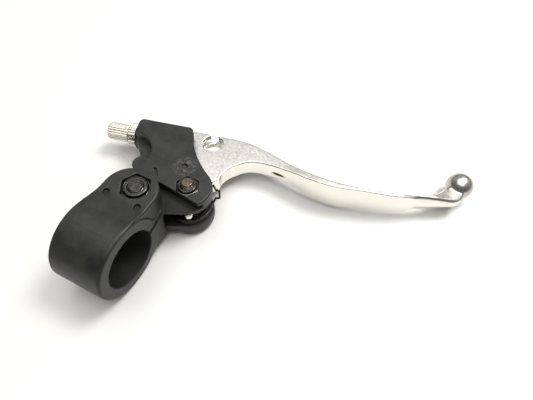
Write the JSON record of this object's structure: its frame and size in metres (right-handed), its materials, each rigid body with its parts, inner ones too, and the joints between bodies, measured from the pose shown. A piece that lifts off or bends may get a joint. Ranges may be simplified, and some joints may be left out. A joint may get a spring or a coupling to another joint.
{
  "type": "clutch lever",
  "caption": "Handlebar clutch lever: moulded perch with a split clamp, cast finger blade on a bushed pivot bolt, return spring and screw cable adjuster.",
  "frame": {"origin": "centre of the handlebar bore, midway between the clamp's two faces", "axes": "+X along the handlebar towards the lever's ball end, +Y forward from the handlebar to the lever, +Z along the pivot bolt and the clamp bolt towards their nuts"},
  "size_m": [0.152, 0.1146, 0.0316],
  "materials": {
    "perch_plastic": "black moulded glass-filled nylon, satin, with fine grain",
    "lever_alloy": "cast aluminium, polished edges and satin flat face",
    "black_steel": "black oxide, lightly worn on the corners",
    "spring_steel": "dark oiled spring wire",
    "nickel": "nickel plate, slightly warm",
    "zinc_steel": "clear zinc plate",
    "nylon": "dark nylon locking ring"
  },
  "bodies": {
    "perch": {"perch_body": "perch_plastic", "clamp_bolt": "black_steel", "clamp_washer": "zinc_steel", "clamp_nut": "black_steel", "clamp_nut_insert": "nylon", "pivot_bolt": "black_steel", "pivot_washer": "zinc_steel", "pivot_bush": "zinc_steel", "pivot_nut": "black_steel", "pivot_nut_insert": "nylon", "return_spring": "spring_steel"},
    "lever": {"lever_blade": "lever_alloy"},
    "adjuster": {"adjuster_barrel": "nickel"},
    "lock_ring": {"adjuster_lock_ring": "nickel"}
  },
  "joints": [
    {"name": "lever_pivot", "type": "hinge", "parent": "perch", "child": "lever", "pos_m": [0.0136, 0.0325, -0.0028], "axis": [0, 0, -1], "range_deg": [0, 30], "stiffness_Nm_per_rad": 0.15, "springref_deg": -34.38, "deforming": ["return_spring"]},
    {"name": "adjuster_screw", "type": "slide", "parent": "perch", "child": "adjuster", "axis": [-0.9636, -0.2672, 0], "range_m": [0, 0.005]},
    {"name": "lock_ring_turn", "type": "hinge", "parent": "perch", "child": "lock_ring", "pos_m": [-0.02625, 0.05098, -0.0028], "axis": [-0.9636, -0.2672, 0], "range_deg": [0, 270]}
  ]
}
